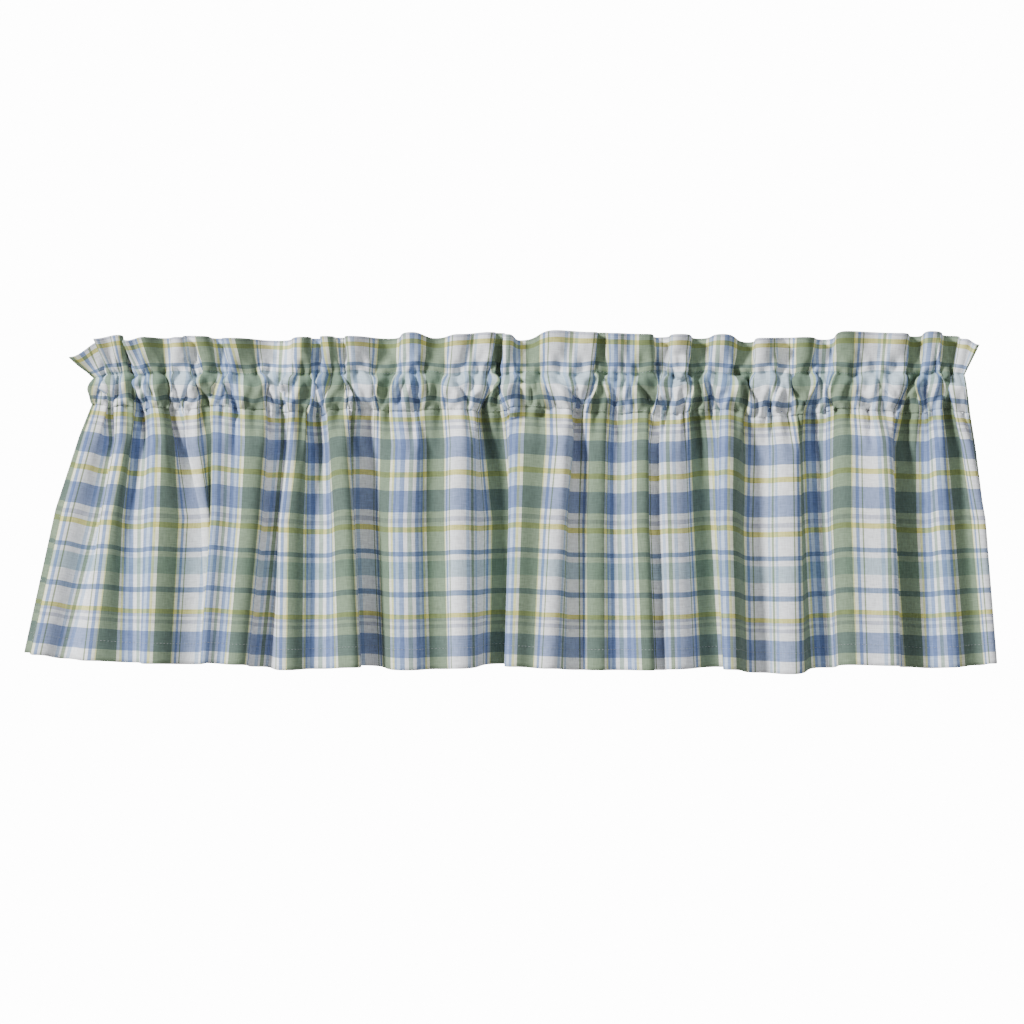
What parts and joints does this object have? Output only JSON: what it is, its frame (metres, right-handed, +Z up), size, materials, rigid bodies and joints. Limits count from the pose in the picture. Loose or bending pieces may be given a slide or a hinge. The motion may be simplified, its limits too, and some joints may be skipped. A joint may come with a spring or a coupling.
{
  "type": "window valance",
  "caption": "Gathered plaid cotton valance with a ruffled header, an open rod pocket and a hanging skirt in deep uneven folds.",
  "frame": {"origin": "middle of the top edge of the ruffled header, straight above the axis of the rod pocket", "axes": "+Z up, +X along the rod to the right as seen from the room, -Y to the front, the side seen in the room"},
  "size_m": [1.0157, 0.0551, 0.358],
  "materials": {
    "plaid_cotton_heading": "matt plain weave, doubled and gathered",
    "plaid_cotton_skirt": "matt plain weave"
  },
  "bodies": {
    "root": {"heading": "plaid_cotton_heading", "skirt": "plaid_cotton_skirt"}
  },
  "joints": []
}
